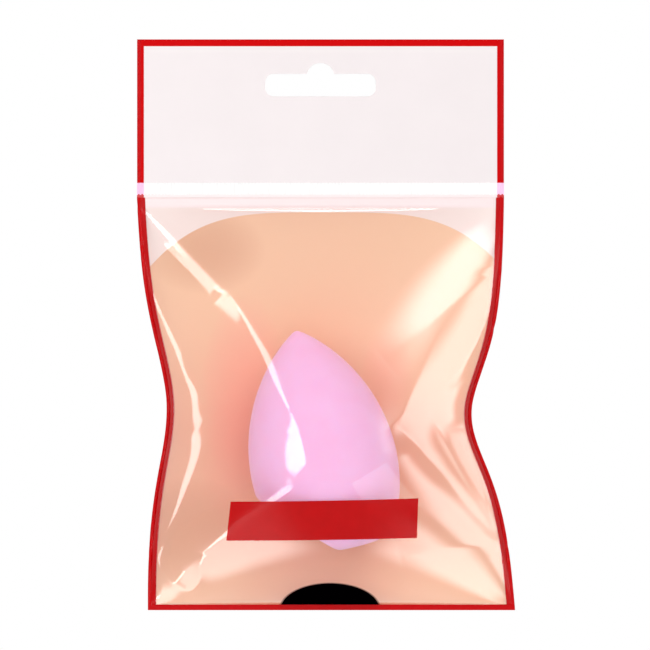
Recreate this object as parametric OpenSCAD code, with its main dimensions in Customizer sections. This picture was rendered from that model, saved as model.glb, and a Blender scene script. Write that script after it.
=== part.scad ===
// A makeup sponge sealed in a film header pouch that hangs on a peg.
// Z is up, X runs to the right and the front faces -Y. The origin is the centre of
// the hang slot's crown, on the plane where the front and back films meet.

/* [Header] */
// Width of the header, and of the pouch where it hangs from the header
pack_w = 106.4; // [90:0.2:140]
// Height of the header above the centre of the slot's crown
header_rise = 10.9; // [8:0.1:20]
// Distance from the centre of the slot's crown down to the knurled seal
header_drop = 30.7; // [15:0.1:60]
// Thickness of each header ply
ply_t = 0.2; // [0.1:0.05:0.5]

/* [Hang slot] */
// Width of the slot's wings from end to end
slot_w = 32; // [24:0.5:40]
// Height of the slot's wings
slot_h = 6.5; // [5:0.1:8]
// Corner radius of the wings
slot_corner_r = 2.4; // [0.5:0.1:2.5]
// Radius of the crown, the round notch that the peg sits in
crown_r = 4.05; // [3:0.05:6]
// Height of the wings' top edge above the crown's centre
wing_rise = 0.9; // [0:0.1:2.5]

/* [Knurled seal] */
// Height of the knurled heat seal
seal_h = 3.5; // [2:0.1:8]
// Distance between two ridges of the seal
knurl_pitch = 1; // [0.8:0.1:3]
// How far each ridge stands out of the seal
knurl_depth = 0.15; // [0.05:0.05:0.3]
// Height of the bare film between the seal and the pouch, which bends as a hinge
fold_gap = 0.5; // [0.5:0.1:1]

/* [Pouch] */
// Height of the pouch, from the fold to its cut lower edge
pouch_h = 119.9; // [110:0.1:150]
// Thickness of each film
film_t = 0.2; // [0.1:0.05:0.3]
// Height of the strip under the fold where the two films still lie flat
flat_strip_h = 3.2; // [2:0.1:8]
// Width of the welds along the two sides
side_weld_w = 1.2; // [0.8:0.1:3]
// Radius of the bead that the hot wire leaves along a cut side
bead_r = 0.3; // [0.3:0.05:0.4]
// Height of the weld along the bottom
bottom_weld_h = 1.6; // [1:0.1:6]
// How far the left side is drawn in at the waist
waist_left = 7.7; // [0:0.1:14]
// How far the right side is drawn in at the waist
waist_right = 10.4; // [0:0.1:14]
// How far the bottom edge has moved to the right of the header
bottom_shift = 3.2; // [-6:0.1:6]

/* [Sponge] */
// Length of the sponge from its base to its tip
sponge_len = 65.5; // [55:0.5:72]
// Largest diameter of the sponge
sponge_d = 43; // [36:0.5:48]
// Length of the curved taper from the belly to the tip
ogive_len = 41; // [32:0.5:44]
// Radius of the tip
tip_r = 1.6; // [0.5:0.1:4]
// Radius of the gentle curve that runs down the side from the belly
side_curve_r = 45; // [35:1:120]
// Radius of the rounded rim round the base
rim_r = 9; // [6:0.2:11]
// Radius of the slight dome across the base
base_dome_r = 120; // [80:1:200]
// Angle between the flat edge and the base
flat_angle = 43.7; // [30:0.1:55]
// How far the flat edge's plane passes outside the centre of the base
flat_reach = 0.5; // [0:0.1:4]

/* [Sponge in the pouch] */
// Height of the sponge's base above the pouch's lower edge
sponge_rise = 17.6; // [14:0.1:30]
// How far the base lies to the right of the pouch's middle
sponge_side = 3.7; // [-8:0.1:8]
// How far the tip leans to the left
sponge_lean = 11.75; // [0:0.25:20]
// How far the loose sponge can slide up inside the pouch
sponge_travel = 8; // [2:0.5:12]
// Room between the belly and each film where the pouch is thickest
sponge_gap = 0.9; // [0.9:0.1:3]

/* [Hidden] */
$fn = 96;

// Rows and columns of each film's mesh, and steps round a weld's bead
film_rows = 26;
film_cols = 24;
bead_steps = 4;
// Steps along each arc of the sponge's section
dome_steps = 4;
rim_steps = 10;
side_steps = 5;
ogive_steps = 16;
tip_steps = 5;

// Where along the pouch's height each side is drawn in, and over how much of it
waist_left_share = 0.506;
waist_right_share = 0.532;
spread_left_share = 0.16;
spread_right_share = 0.12;
// How the pouch's shift grows down its height, and the shape of its pillow:
// across it, from its belly up and from its belly down
shift_power = 1.85;
across_power = 0.75;
up_power = 1.6;
down_power = 2.2;

seal_top_z = -header_drop;
fold_top_z = seal_top_z - seal_h;
pouch_top_z = fold_top_z - fold_gap;
open_z = pouch_top_z - flat_strip_h;
pouch_bottom_z = pouch_top_z - pouch_h;
weld_top_z = pouch_bottom_z + bottom_weld_h;

belly_r = sponge_d / 2;
ogive_r = (ogive_len * ogive_len + belly_r * belly_r) / (2 * belly_r);
shoulder_h = sponge_len - ogive_len;
ogive_mid = [belly_r - ogive_r, shoulder_h];
tip_mid = [0, shoulder_h + sqrt(pow(ogive_r - tip_r, 2) - pow(ogive_r - belly_r, 2))];
// The rim's circle touches the side's circle and the base's dome from within
side_mid = [belly_r - side_curve_r, shoulder_h];
dome_mid = [0, base_dome_r];
rim_mid = touching_mid(side_mid, side_curve_r, dome_mid, base_dome_r, rim_r);

base_z = pouch_bottom_z + sponge_rise;
base_x = shift_at(height_share(base_z)) + sponge_side;
belly_z = base_z + cos(sponge_lean) * shoulder_h + sponge_travel / 2;
belly_half_t = belly_r + sponge_gap;

// Centre of a circle of radius r that touches two larger circles from within
function touching_mid(mid1, r1, mid2, r2, r) =
    let (
        a = r1 - r,
        b = r2 - r,
        gap = mid2 - mid1,
        d = norm(gap),
        along = (a * a - b * b + d * d) / (2 * d),
        dir = gap / d
    )
    mid1 + along * dir + sqrt(a * a - along * along) * [dir[1], -dir[0]];

// Direction from one point to another, in degrees
function heading(from, to) = atan2(to[1] - from[1], to[0] - from[0]);

// Points along an arc after its first one, from one direction to another
function arc(mid, r, from, to, steps) = [
    for (s = [1:steps])
        let (a = from + (to - from) * s / steps)
        mid + r * [cos(a), sin(a)]
];

// Share of the pouch's height, 0 at the fold and 1 at the lower edge
function height_share(z) = (pouch_top_z - z) / pouch_h;

function sech(v) = 2 / (exp(v) + exp(-v));

// Part of the dip that a straight line between its two ends takes away
function dip_foot(u, at, spread) = sech(at / spread) * (1 - u) + sech((1 - at) / spread) * u;

// How far a side is drawn in: 0 at both ends of the pouch and 1 at its waist
function dip(u, at, spread) =
    (sech((u - at) / spread) - dip_foot(u, at, spread)) / (1 - dip_foot(at, at, spread));

function shift_at(u) = bottom_shift * pow(u, shift_power);
function left_x(u) = -pack_w / 2 + waist_left * dip(u, waist_left_share, spread_left_share) + shift_at(u);
function right_x(u) = pack_w / 2 - waist_right * dip(u, waist_right_share, spread_right_share) + shift_at(u);

// Half the pouch's inner thickness along its middle, at a height
function half_t(z) =
    z >= open_z ? 0 :
    let (
        up = z > belly_z,
        reach = up ? open_z - belly_z : belly_z - weld_top_z,
        away = min(1, abs(z - belly_z) / reach)
    )
    belly_half_t * pow(1 - pow(away, up ? up_power : down_power), across_power);

// Inner thickness at a share across the pouch, -1 at its left weld and 1 at its right
function bulge(across, z) = half_t(z) * pow(max(0, 1 - across * across), across_power);

// Heights of the rows, closer together where the film turns fastest
function row_z(k) =
    k == 0 ? pouch_top_z :
    open_z - (open_z - weld_top_z) * (1 - cos(180 * (k - 1) / (film_rows - 1))) / 2;
function col_share(i) = -cos(180 * i / film_cols);

// A point of a film, where out is how far it lies outside the inner face
function film_point(k, i, out) =
    let (
        z = row_z(k),
        u = height_share(z),
        x0 = left_x(u) + side_weld_w,
        x1 = right_x(u) - side_weld_w,
        across = col_share(i)
    )
    [(x0 + x1) / 2 + across * (x1 - x0) / 2, -bulge(across, z) - out, z];

// Two triangles between four corners
function quad(a, b, c, d) = [[a, b, c], [a, c, d]];

module film() {
    wide = film_cols + 1;
    layer = wide * (film_rows + 1);
    inner = [for (k = [0:film_rows]) for (i = [0:film_cols]) film_point(k, i, 0)];
    outer = [for (k = [0:film_rows]) for (i = [0:film_cols]) film_point(k, i, film_t)];
    last = film_rows * wide;
    faces = concat(
        [for (k = [0:film_rows - 1]) for (i = [0:film_cols - 1])
            let (p = k * wide + i)
            each concat(
                quad(p, p + 1, p + 1 + wide, p + wide),
                quad(layer + p, layer + p + wide, layer + p + wide + 1, layer + p + 1)
            )],
        [for (i = [0:film_cols - 1])
            each concat(
                quad(i, layer + i, layer + i + 1, i + 1),
                quad(last + i, last + i + 1, layer + last + i + 1, layer + last + i)
            )],
        [for (k = [0:film_rows - 1])
            let (p = k * wide, q = k * wide + film_cols)
            each concat(
                quad(p, p + wide, layer + p + wide, layer + p),
                quad(q, layer + q, layer + q + wide, q + wide)
            )]
    );
    polyhedron(points = concat(inner, outer), faces = faces);
}

// The section of a side weld at a row: two films thick, with a bead along the cut
function weld_section(edge_x, side, z) =
    let (inner_x = edge_x - side * side_weld_w, bead_x = edge_x - side * bead_r)
    concat(
        [[inner_x, film_t, z], [inner_x, -film_t, z]],
        [for (s = [0:bead_steps])
            let (a = 180 * s / bead_steps)
            [bead_x + side * bead_r * sin(a), -bead_r * cos(a), z]]
    );

// A weld down one side of the pouch, side is -1 for the left and 1 for the right
module side_weld(side) {
    n = bead_steps + 3;
    points = [
        for (k = [0:film_rows])
            let (u = height_share(row_z(k)))
            each weld_section(side < 0 ? left_x(u) : right_x(u), side, row_z(k))
    ];
    rings = [
        for (k = [0:film_rows - 1]) for (j = [0:n - 1])
            let (a = k * n + j, b = k * n + (j + 1) % n)
            each quad(a, b, b + n, a + n)
    ];
    top = [[for (j = [n - 1:-1:0]) j]];
    bottom = [[for (j = [0:n - 1]) film_rows * n + j]];
    faces = concat(rings, top, bottom);
    polyhedron(
        points = points,
        faces = side > 0 ? [for (f = faces) [for (j = [len(f) - 1:-1:0]) f[j]]] : faces
    );
}

// A square with rounded corners, centred on its middle
module round_square(w, h, r) {
    square([w - 2 * r, h], center = true);
    square([w, h - 2 * r], center = true);
    for (sx = [-1, 1]) for (sz = [-1, 1])
        translate([sx * (w / 2 - r), sz * (h / 2 - r)]) circle(r);
}

// The outline of the hang slot: a wide wing with a round crown for the peg
module slot_outline() {
    translate([0, wing_rise - slot_h / 2]) round_square(slot_w, slot_h, slot_corner_r);
    circle(crown_r);
}

// A header ply on the side that side names, -1 for the front and 1 for the back
module header_ply(side) {
    w = pack_w - 2 * side_weld_w;
    translate([0, side < 0 ? 0 : ply_t, 0])
        rotate([90, 0, 0])
            linear_extrude(ply_t)
                difference() {
                    translate([-w / 2, seal_top_z]) square([w, header_rise - seal_top_z]);
                    slot_outline();
                }
}

// The welded edge of the header, with the bead of the hot wire along its cut
module header_weld(side) {
    translate([0, 0, seal_top_z])
        linear_extrude(header_rise - seal_top_z) {
            translate([side * (pack_w - side_weld_w - bead_r) / 2, 0])
                square([side_weld_w - bead_r, 2 * ply_t], center = true);
            translate([side * (pack_w / 2 - bead_r), 0]) circle(bead_r);
        }
}

module header_front_ply() {
    color([0.97, 0.95, 0.95]) header_ply(-1);
}

module header_back_ply() {
    color([0.97, 0.95, 0.95]) header_ply(1);
}

module header_left_weld() {
    color([0.8, 0, 0.02]) header_weld(-1);
}

module header_right_weld() {
    color([0.8, 0, 0.02]) header_weld(1);
}

// The band where hot jaws fused the plies and both films into a corrugated strip
module knurled_seal() {
    count = floor(pack_w / knurl_pitch);
    step = pack_w / count;
    front = [
        for (i = [0:2 * count])
            [-pack_w / 2 + i * step / 2, -ply_t + (i % 2 == 0 ? -knurl_depth : knurl_depth)]
    ];
    back = [for (i = [2 * count:-1:0]) [front[i][0], front[i][1] + 2 * ply_t]];
    color([0.99, 0.99, 0.99])
        translate([0, 0, fold_top_z])
            linear_extrude(seal_h)
                polygon(concat(front, back));
}

module front_film() {
    color([0.99, 0.9, 0.84, 0.5]) film();
}

module back_film() {
    color([0.99, 0.79, 0.66]) mirror([0, 1, 0]) film();
}

module left_side_weld() {
    color([0.8, 0, 0.02]) side_weld(-1);
}

module right_side_weld() {
    color([0.8, 0, 0.02]) side_weld(1);
}

module bottom_weld() {
    u = height_share(weld_top_z);
    color([0.8, 0, 0.02])
        rotate([90, 0, 0])
            translate([0, 0, -film_t])
                linear_extrude(2 * film_t)
                    polygon([
                        [left_x(u), weld_top_z], [right_x(u), weld_top_z],
                        [right_x(1), pouch_bottom_z], [left_x(1), pouch_bottom_z]
                    ]);
}

// Half of the sponge's section: domed base, rounded rim, side, ogive and tip
module sponge_section() {
    rim_start = heading(dome_mid, rim_mid);
    side_start = heading(side_mid, rim_mid);
    tip_start = heading(ogive_mid, tip_mid);
    polygon(concat(
        arc(dome_mid, base_dome_r, -90, rim_start, dome_steps),
        arc(rim_mid, rim_r, rim_start, side_start, rim_steps),
        arc(side_mid, side_curve_r, side_start, 0, side_steps),
        arc(ogive_mid, ogive_r, 0, tip_start, ogive_steps),
        arc(tip_mid, tip_r, tip_start, 90, tip_steps),
        [[0, 0]]
    ));
}

// The sponge: a turned teardrop of foam with one flat edge sliced across its base
module sponge() {
    over = sponge_len;
    color([1, 0.74, 0.92])
        translate([base_x, 0, base_z])
            rotate([0, -sponge_lean, 0])
                difference() {
                    rotate_extrude() sponge_section();
                    rotate([0, flat_angle, 0])
                        translate([-over, -over, -over - flat_reach])
                            cube([2 * over, 2 * over, over]);
                }
}

header_front_ply();
header_back_ply();
header_left_weld();
header_right_weld();
knurled_seal();
front_film();
back_film();
left_side_weld();
right_side_weld();
bottom_weld();
sponge();
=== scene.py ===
# %% [markdown]
# A makeup sponge in a film header pouch. The CAD model gives every place and size,
# and this script gives the looks: see-through film with folds, printed bands, a
# knurled heat seal and a foam sponge. Blender works in metres, with Z up and the
# front of the pack facing -Y. Film is best thought of in millimetres, so the shape
# rules below use those and multiply by MM at the end.

# %% Load the frame
import math

import bmesh
import bpy
import numpy as np
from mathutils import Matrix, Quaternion, Vector


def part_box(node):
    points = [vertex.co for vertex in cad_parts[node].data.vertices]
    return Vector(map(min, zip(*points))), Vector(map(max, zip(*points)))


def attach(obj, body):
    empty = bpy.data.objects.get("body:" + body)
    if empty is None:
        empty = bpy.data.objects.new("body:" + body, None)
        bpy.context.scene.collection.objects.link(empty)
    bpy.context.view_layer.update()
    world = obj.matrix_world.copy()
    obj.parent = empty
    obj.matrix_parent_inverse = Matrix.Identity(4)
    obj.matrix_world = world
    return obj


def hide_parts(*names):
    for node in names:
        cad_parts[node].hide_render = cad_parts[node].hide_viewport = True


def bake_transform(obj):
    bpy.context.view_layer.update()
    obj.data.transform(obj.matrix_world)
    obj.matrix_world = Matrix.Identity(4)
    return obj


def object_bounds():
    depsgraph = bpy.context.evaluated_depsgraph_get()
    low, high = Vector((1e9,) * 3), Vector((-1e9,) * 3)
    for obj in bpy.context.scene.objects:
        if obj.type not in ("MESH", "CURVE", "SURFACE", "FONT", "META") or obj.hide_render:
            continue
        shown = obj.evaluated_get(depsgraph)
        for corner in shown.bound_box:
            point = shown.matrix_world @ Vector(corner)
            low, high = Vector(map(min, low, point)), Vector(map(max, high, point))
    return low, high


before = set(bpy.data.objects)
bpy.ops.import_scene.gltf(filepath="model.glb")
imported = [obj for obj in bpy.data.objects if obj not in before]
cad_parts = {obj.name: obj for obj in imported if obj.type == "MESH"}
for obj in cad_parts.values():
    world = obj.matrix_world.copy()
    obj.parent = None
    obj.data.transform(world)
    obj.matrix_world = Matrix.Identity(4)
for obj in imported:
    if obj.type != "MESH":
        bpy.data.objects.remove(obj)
cad_box = [list(corner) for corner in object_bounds()]
scene = bpy.context.scene
scene.view_settings.view_transform = "Standard"
MM = 0.001
MERGE = 1e-6
print("CAD box", cad_box)

# %% [markdown]
# A pixel of the photograph is a place on the pack's mid-plane, because the camera
# stands far off and looks straight at it. The hang slot gives the scale: its 32 mm
# span 110 pixels. So a fold or a print can be placed by the pixel where it shows,
# which is easier to check against the picture than a length from the pack's edge.

# %% Photograph to pack
PIXEL = 0.29 * MM
CROWN_PIXEL = (320.5, 77.0)
PHOTO_SIZE = 650


def at_pixel(px, py):
    """The place on the mid-plane, as x and z, that a pixel shows."""
    return (px - CROWN_PIXEL[0]) * PIXEL, (CROWN_PIXEL[1] - py) * PIXEL


def in_mm(px, py):
    """The same place in millimetres, which the shape rules and the prints use."""
    x, z = at_pixel(px, py)
    return x / MM, z / MM


print("scale", round(PIXEL / MM, 3), "mm to a pixel")

# %% [markdown]
# The camera looks along +Y from a metre and more away with a long lens, so the
# pack keeps the square, undistorted outline that the photograph shows. A camera
# without perspective would keep it square too, but a photograph always has a little.

# %% Camera
CAMERA_AWAY = 1.1
SENSOR = 36
mid_x, mid_z = at_pixel(PHOTO_SIZE / 2, PHOTO_SIZE / 2)
camera_data = bpy.data.cameras.new("camera")
camera_data.sensor_width = SENSOR
camera_data.lens = SENSOR * CAMERA_AWAY / (PHOTO_SIZE * PIXEL)
camera = bpy.data.objects.new("camera", camera_data)
camera.location = (mid_x, -CAMERA_AWAY, mid_z)
camera.rotation_euler = (math.pi / 2, 0, 0)
scene.collection.objects.link(camera)
scene.camera = camera
print("lens", round(camera_data.lens, 1), "mm")

# %% [markdown]
# Shader maths reads best as plain Python. Math nodes could be added one by one, but
# the outline of the red band alone takes about thirty. So a Val wraps one output,
# and each sum, product or power of it adds the Math node that works it out.


# %% Values in a shader
class Val:
    """An output socket that can be used in Python expressions."""

    def __init__(self, shade, socket):
        self.shade = shade
        self.socket = socket

    def math(self, operation, *values):
        """What a Math node makes of one or two values."""
        settings = {"operation": operation}
        return self.shade.add("ShaderNodeMath", settings, dict(enumerate(values)))[0]

    def __add__(self, other):
        return self.math("ADD", self, other)

    def __sub__(self, other):
        return self.math("SUBTRACT", self, other)

    def __rsub__(self, other):
        return self.math("SUBTRACT", other, self)

    def __mul__(self, other):
        return self.math("MULTIPLY", self, other)

    def __truediv__(self, other):
        return self.math("DIVIDE", self, other)

    def __rtruediv__(self, other):
        return self.math("DIVIDE", other, self)

    def __pow__(self, other):
        return self.math("POWER", self, other)

    def __rpow__(self, other):
        return self.math("POWER", other, self)

    def __abs__(self):
        return self.math("ABSOLUTE", self)

    __radd__ = __add__
    __rmul__ = __mul__

    def least(self, other):
        """The lesser of two values."""
        return self.math("MINIMUM", self, other)

    def most(self, other):
        """The greater of two values."""
        return self.math("MAXIMUM", self, other)

    def ramp(self, low, high, kind="LINEAR"):
        """0 below low, 1 above high and even between, or the reverse if high is less."""
        settings = {"clamp": True, "interpolation_type": kind}
        values = {"Value": self, "From Min": low, "From Max": high}
        return self.shade.add("ShaderNodeMapRange", settings, values)["Result"]

    def over(self, line, soft=0.05):
        """1 over a line and 0 under it, with an edge that is twice soft wide."""
        return self.ramp(line - soft, line + soft)

    def under(self, line, soft=0.05):
        """1 under a line and 0 over it."""
        return self.ramp(line + soft, line - soft)


# %% [markdown]
# A Shade holds the nodes of one material, light or sky. Its add method takes any
# node's type, its settings and what goes into its sockets, and the other methods are
# short names for what this pack's finishes use often.


# %% Nodes of a shader
class Made:
    """A node that gives its outputs as Vals, by name or by number."""

    def __init__(self, shade, node):
        self.shade = shade
        self.node = node

    def __getitem__(self, key):
        return Val(self.shade, self.node.outputs[key])


class Shade:
    """The nodes of a material, a light or the sky, while they are being added."""

    def __init__(self, owner):
        owner.use_nodes = True
        self.owner = owner
        self.tree = owner.node_tree
        self.tree.nodes.clear()

    def add(self, kind, settings=None, values=None):
        """A node of a type, with its settings, and a value or a link for each socket."""
        node = self.tree.nodes.new(kind)
        for name, value in (settings or {}).items():
            setattr(node, name, value)
        for key, value in (values or {}).items():
            if isinstance(value, Val):
                self.tree.links.new(value.socket, node.inputs[key])
            else:
                node.inputs[key].default_value = value
        return Made(self, node)

    def place(self):
        """Object coordinates in millimetres."""
        values = {0: self.add("ShaderNodeTexCoord")["Object"], "Scale": 1 / MM}
        return self.add("ShaderNodeVectorMath", {"operation": "SCALE"}, values)["Vector"]

    def parts(self, vector):
        """The x, y and z of a vector."""
        made = self.add("ShaderNodeSeparateXYZ", None, {0: vector})
        return made["X"], made["Y"], made["Z"]

    def noise(self, vector, scale, detail=2.0, rough=0.5):
        """Soft noise from 0 to 1, with scale cells to the millimetre."""
        values = {"Vector": vector, "Scale": scale, "Detail": detail, "Roughness": rough}
        return self.add("ShaderNodeTexNoise", None, values)["Fac"]

    def blend(self, factor, low, high):
        """A colour between two others."""
        settings = {"data_type": "RGBA", "blend_type": "MIX"}
        return self.add("ShaderNodeMix", settings, {0: factor, 6: low, 7: high})[2]

    def bump(self, height, distance, strength):
        """A normal that a height from 0 to 1 tilts, for a full height in metres."""
        values = {"Height": height, "Distance": distance, "Strength": strength}
        return self.add("ShaderNodeBump", None, values)["Normal"]

    def principled(self, **values):
        """The main shader, with its sockets' names written with underscores."""
        named = {key.replace("_", " "): value for key, value in values.items()}
        return self.add("ShaderNodeBsdfPrincipled", None, named)["BSDF"]

    def mixed(self, factor, first, second):
        """One shader where the factor is 0 and another where it is 1."""
        return self.add("ShaderNodeMixShader", None, {0: factor, 1: first, 2: second})[0]

    def finish(self, surface, kind="Material"):
        """Send a shader to the output, and give back what is now dressed in it."""
        self.add("ShaderNodeOutput" + kind, None, {"Surface": surface})
        return self.owner


# %% [markdown]
# Colours here are written as they look on a screen, from 0 to 255, because that is
# how a colour is read off a picture. Shaders reckon in linear light, so each colour
# is changed over first.


# %% Colours and slots
def srgb(red, green, blue):
    """A colour read off as 0 to 255, in the linear values that shaders use."""
    linear = []
    for part in (red, green, blue):
        share = part / 255
        low = share <= 0.04045
        linear.append(share / 12.92 if low else ((share + 0.055) / 1.055) ** 2.4)
    return (*linear, 1.0)


def dress(obj, material):
    """Give an object one material in all of its slots."""
    if not obj.material_slots:
        obj.data.materials.append(material)
    for slot in obj.material_slots:
        slot.material = material


print("screen grey 128 is", round(srgb(128, 128, 128)[0], 3), "in linear light")

# %% [markdown]
# The pack hangs, so the floor lies well below it. A curved backdrop is the usual way
# to get an even white, but it would hide the pack from behind. Here a plain pale disc
# takes the soft shadow, and the sky shows white to the camera, in gloss and through
# clear film, while it lights the pack at a plain level.

# %% Floor and sky
FLOOR_BELOW = 520 * MM
FLOOR_RADIUS = 2.5
FLOOR_SIDES = 64
SKY_LEVEL = 0.62
FLOOR_GLOW = 0.38
PAPER = srgb(240, 239, 238)
WHITE = (1, 1, 1, 1)


def seen_rays(shade):
    """1 on rays that show the background, and 0 on rays that only carry light."""
    rays = shade.add("ShaderNodeLightPath")
    return rays["Is Camera Ray"].most(rays["Is Glossy Ray"]).most(rays["Is Transmission Ray"])


def make_floor():
    """A pale disc that takes the soft shadow."""
    bm = bmesh.new()
    bmesh.ops.create_circle(bm, cap_ends=True, segments=FLOOR_SIDES, radius=FLOOR_RADIUS)
    bmesh.ops.translate(bm, vec=(0, 0, cad_box[0][2] - FLOOR_BELOW), verts=bm.verts)
    mesh = bpy.data.meshes.new("studio_floor")
    bm.to_mesh(mesh)
    bm.free()
    obj = bpy.data.objects.new("studio_floor", mesh)
    scene.collection.objects.link(obj)
    shade = Shade(bpy.data.materials.new("floor_paper"))
    paper = shade.add("ShaderNodeBsdfDiffuse", None, {"Color": PAPER})[0]
    glowing = {"Color": WHITE, "Strength": seen_rays(shade) * FLOOR_GLOW}
    glow = shade.add("ShaderNodeEmission", None, glowing)[0]
    dress(obj, shade.finish(shade.add("ShaderNodeAddShader", None, {0: paper, 1: glow})[0]))


def make_sky():
    """An even sky that is plain white where it shows."""
    world = bpy.data.worlds.new("studio")
    shade = Shade(world)
    strength = seen_rays(shade) * (1 - SKY_LEVEL) + SKY_LEVEL
    values = {"Color": WHITE, "Strength": strength}
    shade.finish(shade.add("ShaderNodeBackground", None, values)[0], "World")
    scene.world = world


make_floor()
make_sky()
print("floor", round(FLOOR_BELOW / MM), "mm under the pack")

# %% [markdown]
# Film is lit like glassware. Large soft lamps and an even sky light the pack, and a
# set of bright cards shows only in its gloss. A photographer shapes the streaks on
# film with cards in the same way, and streaks that are real reflections move as the
# view does, where painted ones would stay. A card's light fades towards its edges,
# as on a softbox with one lamp behind the cloth, because an even card mirrors as a
# patch with hard edges that film never shows.

# %% Softboxes
POUCH_MIDDLE = Vector((0, 0, -80 * MM))


def soften(light, share):
    """Let a card's light fade out over a share of its half-width at each edge."""
    shade = Shade(light)
    across, up, _ = shade.parts(shade.add("ShaderNodeNewGeometry")["Parametric"])
    across = abs(across * 2 - 1)
    up = abs(up * 2 - 1)
    fade = (1, 1 - share, "SMOOTHSTEP")
    if light.shape == "ELLIPSE":
        level = ((across**2 + up**2) ** 0.5).ramp(*fade)
    else:
        level = across.ramp(*fade) * up.ramp(*fade)
    shade.finish(shade.add("ShaderNodeEmission", None, {"Strength": level})[0], "Light")


def softbox(name, turn, rise, away, width, height, radiance, roll=0, soft=0, shape="RECTANGLE"):
    """An area light of a given radiance, on a sphere round the pouch's middle."""
    data = bpy.data.lights.new(name, "AREA")
    data.shape = shape
    data.size = width
    data.size_y = height
    data.energy = radiance * math.pi * width * height
    if soft:
        soften(data, soft)
    obj = bpy.data.objects.new(name, data)
    turn, rise = math.radians(turn), math.radians(rise)
    way = Vector(
        (math.sin(turn) * math.cos(rise), -math.cos(turn) * math.cos(rise), math.sin(rise))
    )
    obj.location = POUCH_MIDDLE + away * way
    facing = way.to_track_quat("Z", "Y") @ Quaternion((0, 0, 1), math.radians(roll))
    obj.rotation_euler = facing.to_euler()
    obj.visible_camera = False
    scene.collection.objects.link(obj)
    return obj


# %% [markdown]
# A card is placed by where the pouch mirrors it: its turn to the right and its rise,
# seen from the pouch's middle. A surface that is turned by some angle mirrors what
# stands at twice that angle, so the cards for the pouch's sides stand far round to
# the left and the right. The lamps are hidden from gloss and the cards from matt
# surfaces, so the level of the light and the streaks can each be set alone.

# %% Lamps and cards
# name, turn, rise in degrees, distance, width, height in metres, radiance
FILLS = (
    ("right_fill", 32, 45, 1.0, 0.6, 0.6, 1.2),
    ("left_fill", -42, 10, 1.2, 0.6, 0.6, 1.8),
    ("front_fill", 2, 4, 1.2, 0.8, 0.8, 1.45),
    ("back_fill", 165, 20, 1.2, 0.8, 0.8, 2.2),
)
# the same for a card, then its roll in degrees and the share over which it fades
CARDS = (
    ("left_top_card", -36, 24.2, 1.0, 0.2, 0.115, 4.8, 47, 0.25),
    ("left_slant_card", -24.5, 19, 1.0, 0.1, 0.37, 5.5, 45, 0.25),
    ("middle_card", -15.5, -1.5, 1.0, 0.24, 0.47, 4.8, 0, 0.2, "ELLIPSE"),
    ("left_low_strip", -33, -27.5, 1.0, 0.12, 0.72, 5.6, -57, 0.25),
    ("far_left_card", -79, -1, 1.0, 0.12, 0.3, 4.5, 0, 0.3),
    ("right_top_card", 41.5, 24, 0.9, 0.6, 0.52, 5.2, -45, 0.75),
    ("right_wide_card", 71, -6, 1.0, 0.88, 0.56, 3.8, -10, 0.5),
    ("right_edge_card", 90, 13, 1.0, 0.6, 0.34, 2.6, 0, 0.6),
    ("left_floor_card", -42, -49, 0.5, 0.42, 0.38, 3.4, 0, 0.6),
    ("right_floor_card", 54, -44, 0.55, 0.47, 0.47, 3.8, 0, 0.6),
    ("right_slant_card", 31, -13.5, 1.0, 0.62, 0.315, 1.1, 34, 0.15),
    ("back_left_card", -138, 14, 1.0, 0.14, 0.7, 5.0, -24, 0.5),
    ("back_right_card", 146, 8, 1.0, 0.22, 0.6, 4.0, 18, 0.5),
    ("back_floor_card", 176, -48, 0.6, 0.38, 0.12, 3.0, 0, 0.5),
    ("top_card", 0, 86, 1.0, 0.36, 0.13, 6.0, 0, 0.2, "ELLIPSE"),
)
for fill in FILLS:
    softbox(*fill).visible_glossy = False
for card in CARDS:
    softbox(*card).visible_diffuse = False
print(len(FILLS), "soft lamps and", len(CARDS), "cards")

# %% [markdown]
# The pouch is two webs of film, welded along their sides and foot. Its shape follows
# the same rule as its CAD solid: its sides are drawn in at a waist, and it swells
# like a pillow round the sponge. The CAD's mesh could be used as it is, but its
# triangles are too coarse to carry folds, so the rule is worked out again at a finer
# pitch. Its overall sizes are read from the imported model, and the others are the
# values that the CAD uses.

# %% Sizes of the pouch
front_low, front_high = (np.array(c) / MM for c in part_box("front_film"))
seal_low, seal_high = (np.array(c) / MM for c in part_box("knurled_seal"))
bottom_low, bottom_high = (np.array(c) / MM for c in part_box("bottom_weld"))
PACK_W = seal_high[0] - seal_low[0]
POUCH_TOP = front_high[2]
POUCH_BOTTOM = bottom_low[2]
POUCH_H = POUCH_TOP - POUCH_BOTTOM
WELD_TOP = bottom_high[2]
WELD_W = 1.2
FILM_T = 0.2
print("pouch", round(PACK_W, 2), "mm wide and", round(POUCH_H, 2), "mm tall")

# %% [markdown]
# Seen from the front, each side of the pouch is drawn in where the film has to go
# round the sponge, the right one lower and more sharply than the left. A smooth bump
# along the height gives a waist with no corner in it. The foot has shifted a little
# to the right, as it does when a soft pack is hung up.

# %% Outline
# how far a side is drawn in, how far down the pouch that is, and over what spread
LEFT_WAIST, RIGHT_WAIST = (7.7, 0.506, 0.16), (10.4, 0.532, 0.12)
FOOT_SHIFT, FOOT_POWER = 3.2, 1.85


def sech(v):
    """A smooth bump that is 1 at 0 and dies away on both sides."""
    return 1 / np.cosh(v)


def dip(u, at, spread):
    """How far a side is drawn in: 0 at the pouch's ends and 1 at its waist."""

    def foot(u):
        return sech(at / spread) * (1 - u) + sech((1 - at) / spread) * u

    return (sech((u - at) / spread) - foot(u)) / (1 - foot(at))


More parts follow.
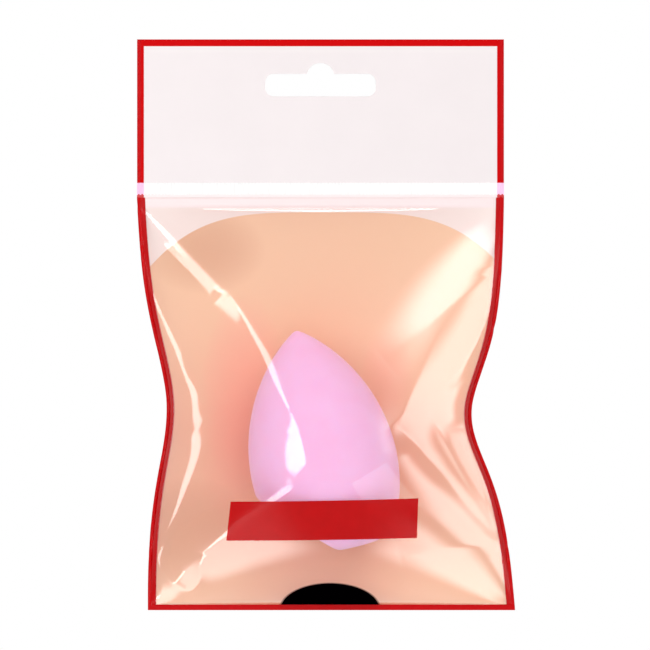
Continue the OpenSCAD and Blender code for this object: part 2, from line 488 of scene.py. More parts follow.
def side_x(z):
    """The left and the right edge of the pouch at a height."""
    u = np.clip((POUCH_TOP - z) / POUCH_H, 0, 1)
    shift = FOOT_SHIFT * u**FOOT_POWER
    left = -PACK_W / 2 + LEFT_WAIST[0] * dip(u, *LEFT_WAIST[1:]) + shift
    right = PACK_W / 2 - RIGHT_WAIST[0] * dip(u, *RIGHT_WAIST[1:]) + shift
    return left, right


waist_z = np.linspace(POUCH_BOTTOM, POUCH_TOP, 200)
print("narrowest", round(float(np.ptp(side_x(waist_z), axis=0).min()), 1), "mm")

# %% [markdown]
# From the side, the pouch is a lens: flat at the seal and at the foot, and fullest
# where the sponge is. The same law, rounded off by one power, runs up and across it,
# so that the film meets every weld at a slant, as two sheets do that are pushed apart.

# %% Thickness
# how far a film reaches into a side seal, and how far it lies flat under the top one
TUCK, FLAT_H = 0.4, 3.2
OPEN_Z = POUCH_TOP - FLAT_H
# the pouch's fullest half-depth, and the height where it is
BELLY = -front_low[1] - FILM_T
BELLY_Z = -109.01
ABOVE_POWER, BELOW_POWER, ROUND_POWER = 1.6, 2.2, 0.75


def half_thickness(z):
    """Half of the pouch's thickness along its middle."""
    up = z > BELLY_Z
    reach = np.where(up, OPEN_Z - BELLY_Z, BELLY_Z - WELD_TOP)
    away = np.clip(np.abs(z - BELLY_Z) / reach, 0, 1)
    return BELLY * (1 - away ** np.where(up, ABOVE_POWER, BELOW_POWER)) ** ROUND_POWER


def film_place(across, z):
    """Where the sheet lies: across runs from -1 at the left weld to 1 at the right."""
    left, right = side_x(z)
    left, right = left + WELD_W - TUCK, right - WELD_W + TUCK
    x = (left + right) / 2 + across * (right - left) / 2
    y = -half_thickness(z) * np.clip(1 - across**2, 0, 1) ** ROUND_POWER
    return x, y


print("belly", round(2 * BELLY, 1), "mm deep")

# %% [markdown]
# The side seals are narrow ribbons of fused film. On the real pack they are never
# quite flat: where the pouch pulls them in they roll and waver, and each stretch
# catches the light at its own angle, so the red border shows lighter and deeper. The
# CAD's flat bands would look stamped. A curve with a bevel could be twisted along
# its length, but a tube bent from a grid keeps its ends and its pitch under control.

# %% Waver of the side seals
# at a pixel height: turn of the ribbon in degrees, and its sway outwards in mm
LEFT_ROLL = (
    (196, 0, 0), (206, 30, 0), (216, -8, -0.1), (244, -10, -0.2), (252, 28, 0.1),
    (262, -8, 0.2), (290, 12, 0.3), (330, 14, -0.2), (352, -14, -0.35), (376, 12, 0.3),
    (398, -12, -0.3), (424, 10, 0.35), (452, -8, -0.2), (480, 12, 0.2), (520, 14, -0.2),
    (546, -14, -0.1), (556, 25, 0.2), (572, 0, 0), (609, 4, 0),
)
RIGHT_ROLL = (
    (196, 12, 0), (240, 14, 0.2), (268, 12, 0.3), (276, -16, -0.2), (300, -12, -0.3),
    (318, -8, 0), (328, 34, 0.35), (338, -6, 0.1), (362, 10, -0.3), (384, -10, 0.3),
    (404, 12, -0.35), (428, -6, 0.3), (456, 10, -0.2), (500, -10, 0.2), (530, -14, 0),
    (546, 28, 0.2), (556, -10, 0), (580, 10, 0), (603, 6, 0),
)


def roll_at(z, rolls):
    """The turn and the sway of a seal at a height."""
    rows = np.array(rolls, float)
    heights = in_mm(0, rows[:, 0])[1]
    turn = np.interp(z, heights[::-1], rows[::-1, 1])
    sway = np.interp(z, heights[::-1], rows[::-1, 2])
    return np.radians(turn), sway


print("the seals roll by up to", max(abs(row[1]) for row in LEFT_ROLL + RIGHT_ROLL), "degrees")

# %% [markdown]
# Each seal is a grid rolled up into a tube of flat oval section, and then laid along
# the pouch's edge with that turn and sway. Its seam is merged and its ends are closed,
# so that it is a solid band.

# %% Side seals
BAND_ROWS, BAND_SIDES = 300, 10
BAND_HALF_W, BAND_HALF_T = 0.66, 0.17


def new_piece(name, bm, smooth=True):
    """An object at the origin from a bmesh."""
    for face in bm.faces:
        face.smooth = smooth
    mesh = bpy.data.meshes.new(name)
    bm.to_mesh(mesh)
    bm.free()
    obj = bpy.data.objects.new(name, mesh)
    scene.collection.objects.link(obj)
    print(name, len(mesh.polygons), "faces")
    return obj


def make_band(name, side, rolls):
    """A side seal as a tube of flat oval section, closed at both ends."""
    bm = bmesh.new()
    bmesh.ops.create_grid(bm, x_segments=BAND_SIDES, y_segments=BAND_ROWS, size=1)
    flat = np.array([v.co for v in bm.verts])
    round_at = (flat[:, 0] + 1) * math.pi
    z = POUCH_BOTTOM + (flat[:, 1] + 1) / 2 * POUCH_H
    left, right = side_x(z)
    middle = left + WELD_W / 2 if side < 0 else right - WELD_W / 2
    turn, sway = roll_at(z, rolls)
    along = BAND_HALF_W * np.cos(round_at)
    out = BAND_HALF_T * np.sin(round_at)
    x = middle + along * np.cos(turn) - out * np.sin(turn)
    y = -sway + along * np.sin(turn) + out * np.cos(turn)
    for vert, place in zip(bm.verts, zip(x * MM, y * MM, z * MM)):
        vert.co = place
    bmesh.ops.remove_doubles(bm, verts=bm.verts, dist=MERGE)
    bmesh.ops.holes_fill(bm, edges=[e for e in bm.edges if e.is_boundary])
    bmesh.ops.recalc_face_normals(bm, faces=bm.faces)
    return new_piece(name, bm)


left_band = make_band("left_seal_band", -1, LEFT_ROLL)
right_band = make_band("right_seal_band", 1, RIGHT_ROLL)
for band, node in ((left_band, "left_side_weld"), (right_band, "right_side_weld")):
    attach(band, "pouch")
    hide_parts(node)

# %% [markdown]
# Between the knurled seal and the pouch the film runs on and bends like a hinge. The
# CAD leaves a gap of half a millimetre there, so that its rigid bodies can turn.
# This narrow strip fills it.

# %% Fold line
SEAL_BOTTOM = seal_low[2]
FOLD_T = 0.38
FOLD_GRID = (60, 10)
OVERLAP = 0.25


def make_fold_line():
    """A strip of film from the seal to the pouch, with rows enough to bend."""
    bm = bmesh.new()
    bmesh.ops.create_grid(bm, x_segments=FOLD_GRID[0], y_segments=FOLD_GRID[1], size=1)
    middle = (SEAL_BOTTOM + POUCH_TOP) / 2
    tall = (SEAL_BOTTOM - POUCH_TOP) / 2 + OVERLAP
    for vert in bm.verts:
        across, up = vert.co.x, vert.co.y
        vert.co = (across * PACK_W / 2 * MM, 0, (middle + up * tall) * MM)
    bm.normal_update()
    bmesh.ops.solidify(bm, geom=bm.faces[:], thickness=FOLD_T * MM)
    bmesh.ops.recalc_face_normals(bm, faces=bm.faces)
    low = min(v.co.y for v in bm.verts)
    bmesh.ops.translate(bm, vec=(0, -FOLD_T / 2 * MM - low, 0), verts=bm.verts)
    return new_piece("fold_line", bm, smooth=False)


fold_line = make_fold_line()
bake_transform(fold_line)

# %% [markdown]
# A fold in film is a crease line with a nearly flat facet on each side, and what
# shows it is how its facets tilt a reflection. Simulated cloth is the usual way to
# get folds, but taut film hardly moves in it, and its creases would fall somewhere
# else than on this pack. So each fold is a smooth path, and the sheet is raised along
# it: sharply at the crease, and less and less across the facet on each side.

# %% Shape of a fold
PATH_STEPS = 8
FACETS_FAR = 5


def smooth_path(points):
    """Points along a smooth curve through rows of numbers."""
    rows = np.array(points, float)
    rows = np.vstack([2 * rows[0] - rows[1], rows, 2 * rows[-1] - rows[-2]])
    path = []
    for a, b, c, d in zip(rows, rows[1:], rows[2:], rows[3:]):
        for t in np.linspace(0, 1, PATH_STEPS, endpoint=False):
            bend = (2 * a - 5 * b + 4 * c - d) * t * t + (-a + 3 * b - 3 * c + d) * t**3
            path.append(0.5 * (2 * b + (c - a) * t + bend))
    return np.array([*path, rows[-2]])


def fold_height(x, z, points, soft):
    """What one fold adds to the sheet's height at places x, z, all in millimetres."""
    path = smooth_path(points)
    path[:, 0], path[:, 1] = in_mm(path[:, 0], path[:, 1])
    reach = FACETS_FAR * path[:, 2:4].max()
    low, high = path[:, :2].min(axis=0) - reach, path[:, :2].max(axis=0) + reach
    near = (x > low[0]) & (x < high[0]) & (z > low[1]) & (z < high[1])
    x, z = x[near], z[near]
    best = np.full(x.shape, np.inf)
    height = np.zeros(x.shape)
    for a, b in zip(path, path[1:]):
        dx, dz = b[:2] - a[:2]
        t = np.clip(((x - a[0]) * dx + (z - a[1]) * dz) / (dx * dx + dz * dz), 0, 1)
        away_x, away_z = x - a[0] - t * dx, z - a[1] - t * dz
        away = np.hypot(away_x, away_z)
        row = a + t[:, None] * (b - a)
        width = np.where(dx * away_z > dz * away_x, row[:, 2], row[:, 3])
        share = np.sqrt((away / width) ** 2 + soft**2) - soft
        closer = away < best
        height[closer] = (row[:, 4] * np.exp(-share))[closer]
        best = np.minimum(best, away)
    whole = np.zeros(near.shape)
    whole[near] = height
    return whole


print("a fold is worked out to", FACETS_FAR, "times its widest facet")

# %% [markdown]
# The front film hangs in one long fold from its top left corner across the sponge to
# the bottom left corner, with pinches left of the sponge, a fan from the top right
# corner and a deep valley from the sponge to the bottom right. Each point of a path
# has its pixel, the width of the facet on each side, and the fold's height, so that
# a fold can swell, narrow and die away along its length.

# %% Folds in front
# softness of the crease, then for each point: pixel x, pixel y, and in mm the facet's
# width on the right and on the left of a path that runs down, and the height outwards
FRONT_FOLDS = (
    # under the seal
    (0.3, (
        (236, 208, 1.5, 1.5, 0), (264, 207.5, 1.5, 1.5, 0.2), (320, 207, 1.5, 1.5, 0.25),
        (376, 207.5, 1.5, 1.5, 0.2), (404, 208, 1.5, 1.5, 0),
    )),
    # from the top left corner to the sponge
    (0.2, (
        (148, 208, 10, 4, 0), (158, 232, 10, 4, 0.1), (170, 250, 10, 4, 0.15),
        (188, 267, 10, 4, 0.16), (206, 282, 10, 4, 0.16), (217, 290, 9, 4, 0.16),
        (224, 296, 8, 3, 0.02), (229, 300, 6, 3, 0),
    )),
    (0.2, (
        (222, 287, 8, 3, 0), (235, 300, 10, 4, 0.3), (246, 320, 10, 5, 0.36),
        (257, 342, 8, 5, 0.26), (267, 362, 6, 4, 0.12), (278, 384, 5, 4, 0.12),
        (289, 405, 4, 4, 0.2), (293, 416, 4, 4, 0.12), (296, 430, 4, 4, 0),
    )),
    # the diamond in front of the sponge
    (0.3, (
        (292, 408, 3, 5, 0), (300, 434, 3, 6, 0.14), (307, 460, 3, 6, 0.2), (310, 476, 3, 4, 0),
    )),
    # on to the bottom left corner
    (0.2, (
        (302, 466, 4, 3, 0), (297, 478, 5, 3, 0.1), (289, 488, 6, 3, 0.1),
        (279, 494, 7, 4, 0.12), (262, 504, 8, 4, 0.14), (240, 518, 8, 4, 0.2),
        (227, 530, 8, 4, 0.35), (204, 552, 8, 4, 0.4), (178, 579, 6, 4, 0.35),
        (158, 600, 4, 4, 0),
    )),
    # the pinch left of the sponge
    (0.3, (
        (150, 250, 2, 2, 0), (172, 290, 2, 2.2, 0.22), (187, 318, 2, 2.2, 0.3),
        (199, 347, 2, 2.2, 0.26), (208, 378, 1.5, 2, 0.14), (213, 406, 1.5, 1.5, 0),
    )),
    (0.4, (
        (156, 312, 1.3, 1.3, 0), (180, 362, 1.3, 1.3, 0.06), (200, 392, 1.3, 1.3, 0.05),
        (211, 406, 1.3, 1.3, 0),
    )),
    (0.4, (
        (214, 408, 1.5, 1.5, 0), (211, 424, 1.5, 1.5, 0.1), (204, 452, 1.5, 2, 0.15),
        (189, 488, 2, 3, 0.2), (172, 520, 3, 3, 0.25), (152, 554, 3, 3, 0),
    )),
    (0.3, (
        (214, 412, 1.3, 1.3, 0), (202, 424, 1.3, 1.3, 0.07), (172, 456, 1.3, 1.3, 0),
    )),
    (0.3, (
        (226, 382, 1.2, 1.2, 0), (234, 400, 1, 1, 0.25), (240, 412, 1, 1, 0.3),
        (242, 418, 1, 1, 0),
    )),
    # loop in the bottom left corner
    (0.3, (
        (151, 546, 2, 3, 0), (160, 566, 2, 3, 0.6), (174, 582, 2, 3, 0.8),
        (188, 590, 2, 3, 0.8), (198, 582, 2, 2, 0.6), (202, 566, 2, 2, 0.45),
        (203, 552, 2, 2, 0),
    )),
    # fan from the top right corner
    (0.1, (
        (497, 268, 6, 6, 0), (480, 282, 6, 6, 0.25), (450, 305, 6, 6, 0.35),
        (418, 331, 6, 6, 0.35), (384, 359, 5, 5, 0),
    )),
    (0.4, (
        (494, 306, 1.6, 1.6, 0), (485, 326, 1.6, 1.6, 0.22), (470, 355, 1.6, 1.6, 0.25),
        (450, 394, 1.6, 1.6, 0),
    )),
    (0.4, (
        (500, 288, 1.6, 1.6, 0), (480, 330, 1.6, 1.6, 0.18), (455, 372, 1.6, 1.6, 0.2),
        (440, 392, 1.6, 1.6, 0),
    )),
    (0.4, (
        (440, 325, 2, 2, 0), (420, 370, 2, 2, 0.12), (404, 406, 1.6, 1.6, 0.15),
        (396, 426, 1.6, 1.6, 0),
    )),
    # from the sponge's right side to the bottom right corner
    (0.1, (
        (394, 420, 4, 3, 0), (404, 431, 5, 5, -0.5), (420, 449, 7, 7, -1.1),
        (442, 474, 8, 8, -1.4), (471, 510, 7, 8, -1.0), (500, 541, 3, 4, 0),
    )),
    (0.15, (
        (470, 372, 2.5, 2.5, 0), (446, 396, 3, 3, -0.25), (433, 415, 3, 3, -0.4),
        (450, 452, 3, 3, -0.35), (478, 500, 3, 3, -0.25), (500, 538, 3, 3, 0),
    )),
    (0.12, (
        (318, 498, 10, 8, 0), (345, 484, 10, 8, 0.3), (372, 468, 10, 8, 0.4),
        (398, 455, 8, 7, 0.3), (418, 444, 6, 6, 0),
    )),
    (0.2, (
        (503, 540, 3, 5, 0), (470, 544, 3, 5, 0.35), (430, 549, 3, 5, 0.3), (400, 556, 3, 5, 0),
    )),
)
print(len(FRONT_FOLDS), "folds in front")

# %% [markdown]
# The picture doesn't show the back. Printed film is a little stiffer than clear film,
# so its folds are fewer and broader: one from each corner, and one above and one
# below the waist on each side.

# %% Folds behind
BACK_FOLDS = (
    (0.5, (
        (500, 236, 9, 9, 0), (452, 300, 9, 7, 0.7), (404, 372, 7, 7, 0),
    )),
    (0.5, (
        (500, 275, 6, 6, 0), (468, 330, 6, 6, -0.5), (436, 400, 5, 5, 0),
    )),
    (0.5, (
        (147, 210, 9, 9, 0), (200, 262, 9, 7, 0.7), (240, 330, 7, 7, 0),
    )),
    (0.5, (
        (152, 262, 6, 6, 0), (180, 330, 6, 5, -0.5), (208, 405, 5, 5, -0.2),
    )),
    (0.4, (
        (208, 405, 6, 6, -0.5), (186, 480, 6, 6, -0.5), (158, 540, 5, 5, 0),
    )),
    (0.4, (
        (396, 424, 8, 5, -0.6), (440, 474, 8, 5, -0.6), (498, 542, 5, 4, 0),
    )),
    (0.4, (
        (155, 600, 9, 9, 0), (190, 566, 9, 9, 0.8), (236, 528, 7, 7, 0.2),
    )),
    (0.4, (
        (505, 600, 9, 9, 0), (470, 566, 9, 9, 0.8), (430, 528, 7, 7, 0.2),
    )),
)
print(len(BACK_FOLDS), "folds behind")

# %% [markdown]
# The folds of a sheet are simply added up, so where two meet they deepen or cancel
# each other. A side seal holds the film, so the folds fade out just before it, which
# also keeps the sheet on its seal.

# %% Relief of a sheet
EDGE_SHARE = 0.06


def relief(x, z, across, folds):
    """All the folds of a sheet, fading out beside its side seals."""
    total = sum(fold_height(x, z, points, soft) for soft, points in folds)
    return total * np.clip((1 - np.abs(across)) / EDGE_SHARE, 0, 1)


print("folds fade out over", round(EDGE_SHARE * PACK_W / 2, 1), "mm beside a seal")

# %% [markdown]
# The pouch is two sheets of film, a clear one in front and a peach one behind. Each
# starts as a flat grid that is put in place between the welds, so its flat pattern
# is kept as UV coordinates in metres, and the printed borders follow it. Film has
# next to no thickness, so the clear sheet has none. The peach sheet gets a thin wall
# whose inside has a finish of its own, because that side shows through the front.

# %% Film sheets
# a sheet's flat size in mm, and the columns and rows of its grid
SHEET_W, SHEET_H = PACK_W - 2 * WELD_W, 124.0
FRONT_GRID, BACK_GRID = (290, 330), (150, 170)
# the share by which columns crowd towards the welds, and where the welds' sway begins
CROWDING = 0.4
SWAY_FROM = 0.8


def make_film(name, side, grid, folds):
    """A sheet between the welds, on the front for side -1 and the back for 1."""
    bm = bmesh.new()
    bmesh.ops.create_grid(bm, x_segments=grid[0], y_segments=grid[1], size=1)
    flat = np.array([v.co for v in bm.verts])
    across = CROWDING * np.sin(flat[:, 0] * math.pi / 2) + (1 - CROWDING) * flat[:, 0]
    up = (flat[:, 1] + 1) / 2
    z = WELD_TOP + up * (POUCH_TOP - WELD_TOP)
    x, y = film_place(across, z)
    y = y - FILM_T / 2 - relief(x, z, across, folds)
    sway = np.where(across < 0, roll_at(z, LEFT_ROLL)[1], roll_at(z, RIGHT_ROLL)[1])
    y = y + side * sway * np.clip((np.abs(across) - SWAY_FROM) / (1 - SWAY_FROM), 0, 1) ** 2
    for vert, px, py, pz in zip(bm.verts, x, y, z):
        vert.co = (px * MM, -side * py * MM, pz * MM)
    uv = bm.loops.layers.uv.new("sheet")
    for face in bm.faces:
        for loop in face.loops:
            i = loop.vert.index
            loop[uv].uv = ((across[i] + 1) / 2 * SHEET_W * MM, (1 - up[i]) * SHEET_H * MM)
    bmesh.ops.recalc_face_normals(bm, faces=bm.faces)
    if bm.faces[:][len(bm.faces) // 2].normal.y * side < 0:
        bmesh.ops.reverse_faces(bm, faces=bm.faces)
    print(name, "stands out by", round(-float(y.min()), 2), "mm")
    return new_piece(name, bm)


front_film = make_film("front_sheet", -1, FRONT_GRID, FRONT_FOLDS)
back_film = make_film("back_sheet", 1, BACK_GRID, BACK_FOLDS)
wall = back_film.modifiers.new("wall", "SOLIDIFY")
wall.thickness = FILM_T / 2 * MM
wall.offset = -1
wall.material_offset = 1
wall.material_offset_rim = 0
for film, node, slot in (
    (front_film, "front_film", "clear_film"),
    (back_film, "back_film", "peach_film"),
):
    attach(film, "pouch")
    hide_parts(node)

# %% [markdown]
# The sponge is moulded foam, so it has no seam and no panels: a full teardrop with
# one flat edge cut across its foot. Its CAD solid has the right shape in long thin
# triangles. A copy is remeshed to an even pitch and then relaxed a little, which
# rounds the edge of the cut as soft foam does.

# %% Sponge
SPONGE_PITCH = 0.7
RELAX_ROUNDS = 12


def make_sponge():
    """The sponge's own solid at an even pitch, relaxed until its edges are soft."""
    bm = bmesh.new()
    bm.from_mesh(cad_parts["sponge"].data)
    bmesh.ops.remove_doubles(bm, verts=bm.verts, dist=MERGE)
    solid = new_piece("sponge_solid", bm)
    even = solid.modifiers.new("even", "REMESH")
    even.mode = "VOXEL"
    even.voxel_size = SPONGE_PITCH * MM
    graph = bpy.context.evaluated_depsgraph_get()
    bm = bmesh.new()
    bm.from_mesh(solid.evaluated_get(graph).to_mesh())
    bpy.data.objects.remove(solid)
    for _ in range(RELAX_ROUNDS):
        bmesh.ops.smooth_vert(
            bm, verts=bm.verts, factor=0.5, use_axis_x=True, use_axis_y=True, use_axis_z=True
        )
    return new_piece("foam_sponge", bm)


sponge = make_sponge()
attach(sponge, "sponge")
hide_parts("sponge")

# %% [markdown]
# Foam is matt, with pores far finer than a millimetre. Light goes a little way into
# it and comes out pink, which softens its shaded side, and its open skin catches
# light at its outline like the finest cloth. So it gets some subsurface scattering
# and a little sheen, with a fine noise for the pores and a broad one for the tint.
# Pores cut into the mesh would cost millions of faces and show no better.

# %% Foam finish
PORES_PER_MM, TINTS_PER_MM = 2.2, 0.12
# how deep a pore is, and how far light goes in, in mm
PORE_DEPTH, LIGHT_DEPTH = 0.12, 4
FOAM_DEEP, FOAM_PALE = srgb(255, 175, 225), srgb(255, 191, 237)


def foam_finish():
    """Pink foam with fine pores and a slightly uneven tint."""
    shade = Shade(bpy.data.materials.new("sponge_foam"))
    place = shade.place()
    pores = shade.noise(place, PORES_PER_MM, detail=3.0, rough=0.6)
    tint = shade.blend(shade.noise(place, TINTS_PER_MM), FOAM_DEEP, FOAM_PALE)
    return shade.finish(
        shade.principled(
            Base_Color=tint, Roughness=0.85, Normal=shade.bump(pores, PORE_DEPTH * MM, 0.5),
            Subsurface_Weight=0.25, Subsurface_Scale=LIGHT_DEPTH * MM,
            Sheen_Weight=0.2, Sheen_Roughness=0.5,
        )
    )


dress(sponge, foam_finish())
print("foam pores about", round(1 / PORES_PER_MM, 1), "mm apart")

# %% [markdown]
# Both films have the faint waviness of rolled film and a red border down their
# sides, and the front one has a red band and a black badge. The prints could be
# images, but shapes that are worked out from the piece's own coordinates stay sharp
# at any distance. The border follows the sheet's flat pattern, so it bends with the
# waist. The band and the badge are placed straight on, by their pixels.

# %% Shapes of the prints
BORDER_W = 1.5
BAND_CORNERS = ((232, 499), (417, 495.7), (415.7, 535.2), (227.5, 538))
BADGE_MIDDLE = (330, 609)
BADGE_HALF_W, BADGE_HALF_H = 14.5, 8.2
WAVES_PER_MM, WAVE_DEPTH = 0.35, 0.04
MOTTLES_PER_MM = 0.3


def crinkled(shade, place):
    """The faint waviness of rolled film, as a normal."""
    waves = shade.noise(place, WAVES_PER_MM, detail=3.0, rough=0.55)
    return shade.bump(waves, WAVE_DEPTH * MM, 0.1)


def mottled(shade, place):
    """The slow unevenness of a printed ink, from 0 to 1."""
    return shade.noise(place, MOTTLES_PER_MM, detail=3.0)


def red_edges(shade):
    """1 on the printed border along a sheet's two sides."""
    across = shade.parts(shade.add("ShaderNodeUVMap", {"uv_map": "sheet"})["UV"])[0] / MM
    return across.under(BORDER_W).most(across.over(SHEET_W - BORDER_W))


def oval(x, z, pixel, half_w, half_h):
    """The square of how far a place is from a pixel, where 1 is on the oval's edge."""
    middle_x, middle_z = in_mm(*pixel)
    return ((x - middle_x) / half_w) ** 2 + ((z - middle_z) / half_h) ** 2


def inside_corners(x, z, pixels):
    """1 inside a four-sided shape, whose corners go round clockwise."""
    corners = [in_mm(*pixel) for pixel in pixels]
    share = 1
    for (ax, az), (bx, bz) in zip(corners, corners[1:] + corners[:1]):
        run, rise = bx - ax, bz - az
        within = ((x - ax) * rise - (z - az) * run) / math.hypot(run, rise)
        share = within.over(0) * share
    return share


print("border", BORDER_W, "mm wide, badge", 2 * BADGE_HALF_W, "mm across")

# %% [markdown]
# Clear film shows what lies behind it and adds a gloss that grows at a slant. A
# glass shader would bend and darken a single thin sheet, so the film is a plain
# transparent shader mixed with a glossy one by Fresnel's rule, raised because a film
# mirrors light on both of its faces. Soft light and shadow go through it unchanged.
# The inks are opaque. Their gloss is kept low, because a full one would mirror the
# cards and wash out the red.

# %% Clear film
FILM_IOR = 1.5
BOTH_FACES = 1.9
FILM_ROUGHNESS = 0.06
BAND_GLOSS = 0.12
BAND_DEEP, BAND_BRIGHT = srgb(186, 0, 2), srgb(202, 0, 6)
BADGE_BLACK = srgb(1, 0, 1)


def ink(shade, colour, normal, gloss):
    """Printed ink under the film."""
    return shade.principled(
        Base_Color=colour, Roughness=0.2, Specular_IOR_Level=gloss, Normal=normal
    )


def clear_film_finish():
    """See-through film with a red border, a red band and a black badge."""
    shade = Shade(bpy.data.materials.new("clear_film"))
    place = shade.place()
    x, _, z = shade.parts(place)
    normal = crinkled(shade, place)
    shine = {"Color": WHITE, "Roughness": FILM_ROUGHNESS, "Normal": normal}
    gloss = shade.add("ShaderNodeBsdfGlossy", None, shine)[0]
    clear = shade.add("ShaderNodeBsdfTransparent")[0]
    slant = shade.add("ShaderNodeFresnel", None, {"IOR": FILM_IOR, "Normal": normal})[0]
    rays = shade.add("ShaderNodeLightPath")
    passing = rays["Is Shadow Ray"].most(rays["Is Diffuse Ray"])
    film = shade.mixed((slant * BOTH_FACES).least(1.0) * (1 - passing), clear, gloss)
    printed = red_edges(shade).most(inside_corners(x, z, BAND_CORNERS))
    red = shade.blend(mottled(shade, place), BAND_DEEP, BAND_BRIGHT)
    surface = shade.mixed(printed, film, ink(shade, red, normal, BAND_GLOSS))
    badge = oval(x, z, BADGE_MIDDLE, BADGE_HALF_W, BADGE_HALF_H).under(1)
    return shade.finish(shade.mixed(badge, surface, ink(shade, BADGE_BLACK, normal, 0.0)))


dress(front_film, clear_film_finish())
print("film mirrors", BOTH_FACES, "times what one face does")

# %% [markdown]
# The back film is printed peach up to a wide arch, and white above it. Its outside
# is glossy, and its inside is dull, as the unprinted side of a laminate is. On the
# real pack the foam's pink light spreads on the film beside it, with its contact
# shadow, and the lower and upper left corners lie in shade and look a deeper tan.
# Soft-edged spots of each tone paint that into the inside's colour: painted pink
# bounce light and shadow beside the sponge, and painted shade in the corners. A
# tinted lamp inside the pouch could give the pink light, but it would light the
# sponge as well.

# %% Peach film
# the arch's middle, half-width and top, and how it drops towards its ends, in mm
ARCH_MIDDLE, ARCH_HALF_W, ARCH_TOP = 1.5, 49.1, -39.2
ARCH_DROP, ARCH_POWER, ARCH_SOFT = 13.7, 3.8, 0.08
# heights between which one white turns into the other, and one peach into the next
STRIP_FROM, STRIP_TO = -37.6, -38.2
STRIP_WHITE, ARCH_WHITE = srgb(253, 233, 233), srgb(254, 234, 228)
PEACH_FROM, PEACH_TO = -60, -120
PEACH_HIGH, PEACH_LOW = srgb(252, 201, 162), srgb(252, 200, 162)
EDGE_RED = srgb(206, 0, 14)
# painted pink bounce light with contact shadow, and painted shade
PAINTED_PINK_BOUNCE, PAINTED_SHADE_TAN = srgb(255, 160, 140), srgb(228, 166, 128)
# pixel x, pixel y, half-width and half-height in mm, strength and tone of each spot of painted
# light and shade
PAINTED_LIGHT_SPOTS = (
    (244, 395, 13, 30, 0.5, PAINTED_PINK_BOUNCE),
    (388, 375, 8, 14, 0.3, PAINTED_PINK_BOUNCE),
    (240, 470, 12, 22, 0.3, PAINTED_PINK_BOUNCE),
    (204, 250, 18, 13, 0.8, PAINTED_SHADE_TAN),
    (188, 535, 18, 17, 0.7, PAINTED_SHADE_TAN),
)


def peach_finish(name, roughness, painted_spots):
    """Peach print under a white top, with painted spots of bounce light and shade."""
    shade = Shade(bpy.data.materials.new(name))
    place = shade.place()
    x, _, z = shade.parts(place)
    arch = ARCH_TOP - (abs(x - ARCH_MIDDLE) / ARCH_HALF_W) ** ARCH_POWER * ARCH_DROP
    peach = shade.blend(z.ramp(PEACH_FROM, PEACH_TO), PEACH_HIGH, PEACH_LOW)
    for px, py, half_w, half_h, strength, tone in painted_spots:
        painted_spot = oval(x, z, (px, py), half_w, half_h).ramp(1, 0)
        peach = shade.blend(painted_spot * strength, peach, tone)
    top = shade.blend(z.ramp(STRIP_FROM, STRIP_TO), STRIP_WHITE, ARCH_WHITE)
    colour = shade.blend((z - arch).under(0, ARCH_SOFT), top, peach)
    colour = shade.blend(red_edges(shade), colour, EDGE_RED)
    return shade.finish(
        shade.principled(Base_Color=colour, Roughness=roughness, Normal=crinkled(shade, place))
    )


back_film.data.materials.append(peach_finish("peach_film", 0.12, ()))
back_film.data.materials.append(peach_finish("peach_inside", 0.35, PAINTED_LIGHT_SPOTS))
print("arch", 2 * ARCH_HALF_W, "mm wide,", len(PAINTED_LIGHT_SPOTS), "spots inside")

# %% [markdown]
# The header is stiffer laminate with a satin, nearly white print and a red border of
# two millimetres. Its two plies are the CAD's own, because they are flat and exact.
# Only their finish is new. One even white would look like card, so a slow mottle of
# two near whites goes over it.

# %% Header
HEADER_BORDER_W = 2.0
HEADER_BORDER_Z = 8.9
HEADER_MOTTLES_PER_MM = 0.06
HEADER_DEEP, HEADER_PALE = srgb(240, 231, 232), srgb(245, 236, 237)
HEADER_RED = srgb(212, 0, 4)


def side_borders(shade, soft=0.05):
    """1 on the red border at the left and right of the header, the seal or the fold."""
    return abs(shade.parts(shade.place())[0]).over(PACK_W / 2 - HEADER_BORDER_W, soft)


def header_finish():
    """Nearly white satin print with a red border on three sides."""
    shade = Shade(bpy.data.materials.new("header_print"))
    place = shade.place()
    border = side_borders(shade).most(shade.parts(place)[2].over(HEADER_BORDER_Z))
    mottle = shade.noise(place, HEADER_MOTTLES_PER_MM, detail=3.0)
    white = shade.blend(mottle, HEADER_DEEP, HEADER_PALE)
    plain = shade.principled(Base_Color=white, Roughness=0.4)
    inked = shade.principled(Base_Color=HEADER_RED, Roughness=0.3, Specular_IOR_Level=0.03)
    return shade.finish(shade.mixed(border, plain, inked))


header_print = header_finish()
for name in ("header_front_ply", "header_back_ply"):
    dress(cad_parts[name], header_print)
print("header border", HEADER_BORDER_W, "mm wide")

# %% [markdown]
# The knurled seal is where heated jaws pressed the webs together. Its ribs are real
# in the CAD, a millimetre apart. Melted film is milky and scatters light inside, so
# its ribs look softer than their shape. Turning the normal part of the way towards
# the strip's flat face gives that. The red border shows through it as pink ends.

# %% Knurled seal
SEAL_SOFTNESS = 0.42
# how sharply the normal's Y is turned into -1 in front and 1 behind
SIDE_STEP = 50
SEAL_WHITE, SEAL_PINK = srgb(254, 253, 253), srgb(255, 205, 240)


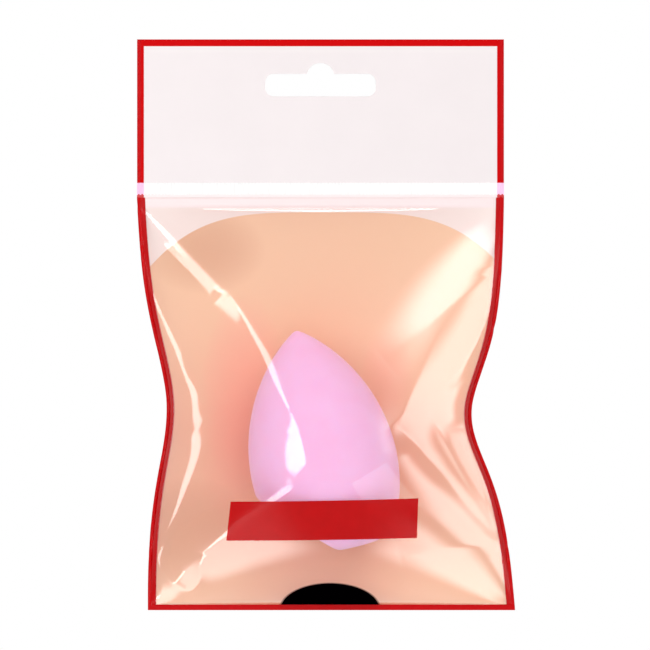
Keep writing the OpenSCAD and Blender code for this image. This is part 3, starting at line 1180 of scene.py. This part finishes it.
def seal_finish():
    """Milky white with pink ends, shaded softer than its ribs."""
    shade = Shade(bpy.data.materials.new("knurled_white"))
    colour = shade.blend(side_borders(shade, 0.1), SEAL_WHITE, SEAL_PINK)
    true = shade.add("ShaderNodeNewGeometry")["Normal"]
    facing = (shade.parts(true)[1] * SIDE_STEP).least(1).most(-1)
    flat = shade.add("ShaderNodeCombineXYZ", None, {"Y": facing})[0]
    kind = {"data_type": "VECTOR"}
    soft = shade.add("ShaderNodeMix", kind, {0: SEAL_SOFTNESS, 4: true, 5: flat})[1]
    return shade.finish(shade.principled(Base_Color=colour, Roughness=0.4, Normal=soft))


dress(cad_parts["knurled_seal"], seal_finish())
print("seal softened by", SEAL_SOFTNESS)

# %% [markdown]
# The strip on the fold line is the header's film on its way to the pouch. So its white
# lies between the seal's and the one at the top of the back film, and it has the red
# border at its ends.

# %% Fold line finish
FOLD_WHITE, FOLD_RED = srgb(253, 238, 238), srgb(204, 0, 8)


def fold_line_finish():
    """White film with red ends, to match the header and the pouch."""
    shade = Shade(bpy.data.materials.new("fold_white"))
    colour = shade.blend(side_borders(shade), FOLD_WHITE, FOLD_RED)
    return shade.finish(shade.principled(Base_Color=colour, Roughness=0.4))


dress(fold_line, fold_line_finish())
print("fold line", round(SEAL_BOTTOM - POUCH_TOP + 2 * OVERLAP, 2), "mm tall")

# %% [markdown]
# The welds are bands of the same red print, fused through. They are glossy like the
# film, and a slow mottle keeps the red from looking like paint. One material serves
# all five, because they come from one roll of film.

# %% Welds
WELD_DEEP, WELD_BRIGHT = srgb(194, 0, 6), srgb(210, 0, 10)


def weld_finish():
    """Red print fused into a band of film."""
    shade = Shade(bpy.data.materials.new("red_weld"))
    red = shade.blend(mottled(shade, shade.place()), WELD_DEEP, WELD_BRIGHT)
    return shade.finish(
        shade.principled(Base_Color=red, Roughness=0.2, Specular_IOR_Level=0.08)
    )


weld = weld_finish()
for name in ("header_left_weld", "header_right_weld", "bottom_weld"):
    dress(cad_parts[name], weld)
dress(left_band, weld)
dress(right_band, weld)
print("five welds in one red")
